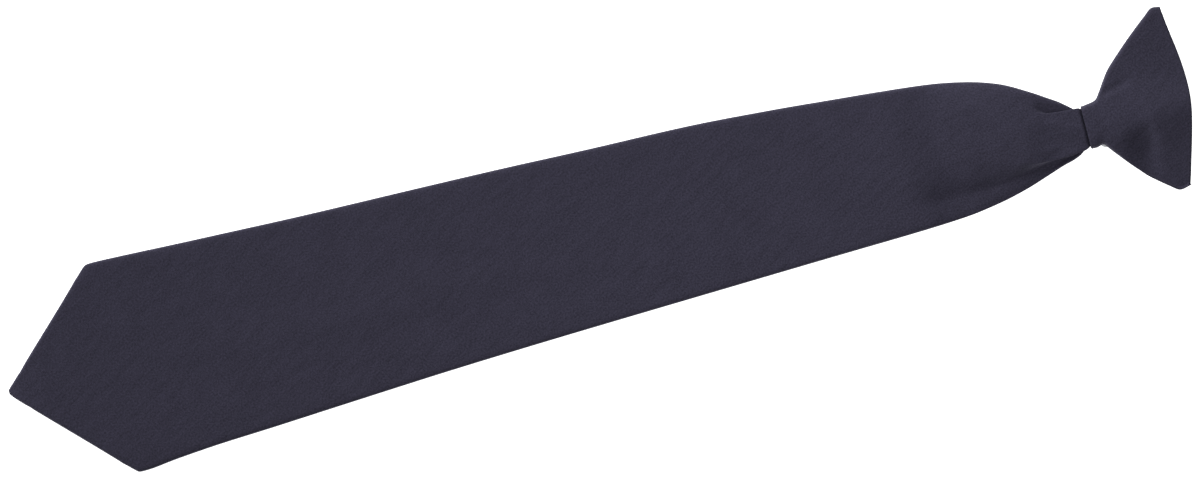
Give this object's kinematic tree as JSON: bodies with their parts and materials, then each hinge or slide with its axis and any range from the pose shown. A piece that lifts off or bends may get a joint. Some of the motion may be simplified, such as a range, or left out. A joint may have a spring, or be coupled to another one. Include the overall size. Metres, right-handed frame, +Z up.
{
  "type": "clip-on tie",
  "caption": "Adult clip-on necktie: a pointed cloth blade gathered into a ready-made fan-shaped knot, with a spring-steel collar clip behind it.",
  "frame": {"origin": "on the surface that the tie lies on, under the middle of its length and of the blade's width", "axes": "+X from the blade's tip to the knot's collar end, +Y to the upper side in the picture, +Z up through the tie's front"},
  "size_m": [0.5081, 0.0895, 0.0199],
  "materials": {
    "blade_cloth": "matte fine twill, very dark navy",
    "knot_cloth": "matte fine twill, very dark navy",
    "clip_steel": "plain nickel-plated spring steel"
  },
  "bodies": {
    "root": {"blade": "blade_cloth", "knot": "knot_cloth", "clip": "clip_steel"}
  },
  "joints": []
}
